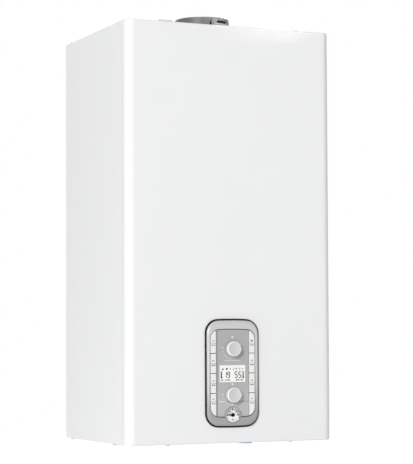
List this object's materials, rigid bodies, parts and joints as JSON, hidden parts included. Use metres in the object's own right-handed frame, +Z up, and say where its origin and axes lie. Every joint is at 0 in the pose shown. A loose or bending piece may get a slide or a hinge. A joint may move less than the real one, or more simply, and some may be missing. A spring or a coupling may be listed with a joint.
{
  "type": "wall-hung condensing gas boiler",
  "caption": "Wall-hung condensing gas boiler: white sheet-metal casing, silver control panel with display, keys, two knobs and a pressure gauge, concentric flue collar on top.",
  "frame": {"origin": "midway between the two wall screws of the hanging bracket, on the wall's face", "axes": "+X to the right seen from the front, -Y towards the front, +Z up"},
  "size_m": [0.4, 0.3337, 0.785],
  "materials": {
    "painted_casing": "white satin powder coat",
    "coated_sheet": "zinc-coated sheet",
    "seal_foam": "soft black foam",
    "zinc_screws": "zinc plated",
    "flue_plastic": "dark grey moulded plastic",
    "flue_inner": "light grey plastic",
    "black_cap": "black moulded plastic",
    "cast_alloy": "as cast",
    "burner_steel": "perforated steel",
    "ceramic": "glazed ceramic",
    "wheel_plastic": "black moulded plastic",
    "motor_black": "black moulded plastic",
    "duct_plastic": "black moulded plastic",
    "steel_pipe": "zinc-plated steel",
    "moulded_group": "dark glass-filled plastic",
    "brass": "machined brass",
    "steel_plates": "brazed stainless plates",
    "red_cap": "red moulded plastic",
    "blue_cap": "blue moulded plastic",
    "hose": "grey flexible hose",
    "vessel_paint": "red enamel",
    "copper": "bare copper tube",
    "black_rim": "black moulded plastic",
    "silver_bezel": "silver paint on plastic",
    "grey_field": "mid-grey moulded plastic",
    "light_keys": "off-white moulded plastic",
    "grey_knobs": "light grey moulded plastic",
    "encoder_case": "black plastic with a steel spindle",
    "display_glass": "pale liquid-crystal face",
    "gauge_black": "moulded cup with a printed dial",
    "needle_black": "black",
    "clear_lens": "clear plastic",
    "box_plastic": "dark grey moulded plastic",
    "board_green": "green board with its parts"
  },
  "bodies": {
    "boiler": {"right_side_panel": "painted_casing", "left_side_panel": "painted_casing", "top_plate": "coated_sheet", "bottom_plate": "coated_sheet", "rear_frame": "coated_sheet", "wall_bracket": "coated_sheet", "chamber_floor": "coated_sheet", "casing_screws": "zinc_screws", "flue_collar": "flue_plastic", "flue_duct": "flue_inner", "sampling_plugs": "black_cap", "heat_exchanger": "cast_alloy", "burner_door": "cast_alloy", "gas_mixer": "cast_alloy", "gas_valve": "cast_alloy", "fan_housing": "cast_alloy", "burner": "burner_steel", "electrodes": "ceramic", "fan_motor": "motor_black", "pump_motor": "motor_black", "diverter_motor": "motor_black", "mixing_duct": "duct_plastic", "gas_pipe": "steel_pipe", "pump_body": "moulded_group", "flow_manifold": "moulded_group", "condensate_trap": "moulded_group", "safety_valve": "brass", "plate_heat_exchanger": "steel_plates", "condensate_hose": "hose", "expansion_vessel": "vessel_paint", "water_pipes": "copper"},
    "front_panel_body": {"front_panel": "painted_casing", "front_seal": "seal_foam"},
    "control_body": {"control_box": "box_plastic", "control_box_cover": "box_plastic", "main_board": "board_green", "display": "display_glass", "rotary_encoders": "encoder_case", "fascia_rim": "black_rim", "fascia_bezel": "silver_bezel", "centre_panel": "grey_field", "lower_insert": "grey_field", "gauge_case": "gauge_black", "gauge_lens": "clear_lens"},
    "knob_heating_body": {"knob_heating": "grey_knobs"},
    "knob_hot_water_body": {"knob_hot_water": "grey_knobs"},
    "gauge_needle_body": {"gauge_needle": "needle_black"},
    "fan_impeller_body": {"fan_impeller": "wheel_plastic"},
    "pump_impeller_body": {"pump_impeller": "wheel_plastic"},
    "diverter_spindle_body": {"diverter_spindle": "brass"},
    "filling_tap_body": {"filling_tap": "blue_cap"},
    "safety_valve_knob_body": {"safety_valve_knob": "red_cap"},
    "button_left_1_body": {"button_left_1": "light_keys"},
    "button_left_2_body": {"button_left_2": "light_keys"},
    "button_left_3_body": {"button_left_3": "light_keys"},
    "button_left_4_body": {"button_left_4": "light_keys"},
    "button_right_1_body": {"button_right_1": "light_keys"},
    "button_right_2_body": {"button_right_2": "light_keys"},
    "button_right_3_body": {"button_right_3": "light_keys"},
    "button_right_4_body": {"button_right_4": "light_keys"}
  },
  "joints": [
    {"name": "front_panel_tilt", "type": "hinge", "parent": "boiler", "child": "front_panel_body", "pos_m": [0, -0.301, 0.054], "axis": [-1, 0, 0], "range_deg": [0, 30]},
    {"name": "control_box_drop", "type": "hinge", "parent": "boiler", "child": "control_body", "pos_m": [0, -0.296, -0.676], "axis": [1, 0, 0], "range_deg": [0, 60]},
    {"name": "knob_heating_turn", "type": "hinge", "parent": "control_body", "child": "knob_heating_body", "pos_m": [-0.001, -0.3237, -0.5232], "axis": [0, 1, 0], "range_deg": [-240, 60]},
    {"name": "knob_hot_water_turn", "type": "hinge", "parent": "control_body", "child": "knob_hot_water_body", "pos_m": [-0.001, -0.3237, -0.6047], "axis": [0, 1, 0], "range_deg": [-240, 60]},
    {"name": "gauge_needle_turn", "type": "hinge", "parent": "control_body", "child": "gauge_needle_body", "pos_m": [-0.001, -0.3238, -0.6401], "axis": [0, 1, 0], "range_deg": [0, 180]},
    {"name": "fan_impeller_spin", "type": "hinge", "parent": "boiler", "child": "fan_impeller_body", "pos_m": [0.118, -0.225, -0.31], "axis": [0, 1, 0], "continuous": true},
    {"name": "pump_impeller_spin", "type": "hinge", "parent": "boiler", "child": "pump_impeller_body", "pos_m": [0.134, -0.127, -0.58], "axis": [0, 1, 0], "continuous": true},
    {"name": "diverter_spindle_lift", "type": "slide", "parent": "boiler", "child": "diverter_spindle_body", "axis": [0, 0, 1], "range_m": [0, 0.008]},
    {"name": "filling_tap_turn", "type": "hinge", "parent": "boiler", "child": "filling_tap_body", "pos_m": [0.1, -0.155, -0.69], "axis": [0, 0, 1], "range_deg": [0, 90]},
    {"name": "safety_valve_knob_turn", "type": "hinge", "parent": "boiler", "child": "safety_valve_knob_body", "pos_m": [0.1, -0.072, -0.594], "axis": [0, 0, 1], "range_deg": [0, 90]},
    {"name": "button_left_1_press", "type": "slide", "parent": "control_body", "child": "button_left_1_body", "axis": [0, 1, 0], "range_m": [0, 0.001], "stiffness_N_per_m": 600, "springref_m": -0.001},
    {"name": "button_left_2_press", "type": "slide", "parent": "control_body", "child": "button_left_2_body", "axis": [0, 1, 0], "range_m": [0, 0.001], "stiffness_N_per_m": 600, "springref_m": -0.001},
    {"name": "button_left_3_press", "type": "slide", "parent": "control_body", "child": "button_left_3_body", "axis": [0, 1, 0], "range_m": [0, 0.001], "stiffness_N_per_m": 600, "springref_m": -0.001},
    {"name": "button_left_4_press", "type": "slide", "parent": "control_body", "child": "button_left_4_body", "axis": [0, 1, 0], "range_m": [0, 0.001], "stiffness_N_per_m": 600, "springref_m": -0.001},
    {"name": "button_right_1_press", "type": "slide", "parent": "control_body", "child": "button_right_1_body", "axis": [0, 1, 0], "range_m": [0, 0.001], "stiffness_N_per_m": 600, "springref_m": -0.001},
    {"name": "button_right_2_press", "type": "slide", "parent": "control_body", "child": "button_right_2_body", "axis": [0, 1, 0], "range_m": [0, 0.001], "stiffness_N_per_m": 600, "springref_m": -0.001},
    {"name": "button_right_3_press", "type": "slide", "parent": "control_body", "child": "button_right_3_body", "axis": [0, 1, 0], "range_m": [0, 0.001], "stiffness_N_per_m": 600, "springref_m": -0.001},
    {"name": "button_right_4_press", "type": "slide", "parent": "control_body", "child": "button_right_4_body", "axis": [0, 1, 0], "range_m": [0, 0.001], "stiffness_N_per_m": 600, "springref_m": -0.001}
  ],
  "couplings": [
    {"joint": "control_box_drop", "follows": "front_panel_tilt", "ratio": 2}
  ]
}
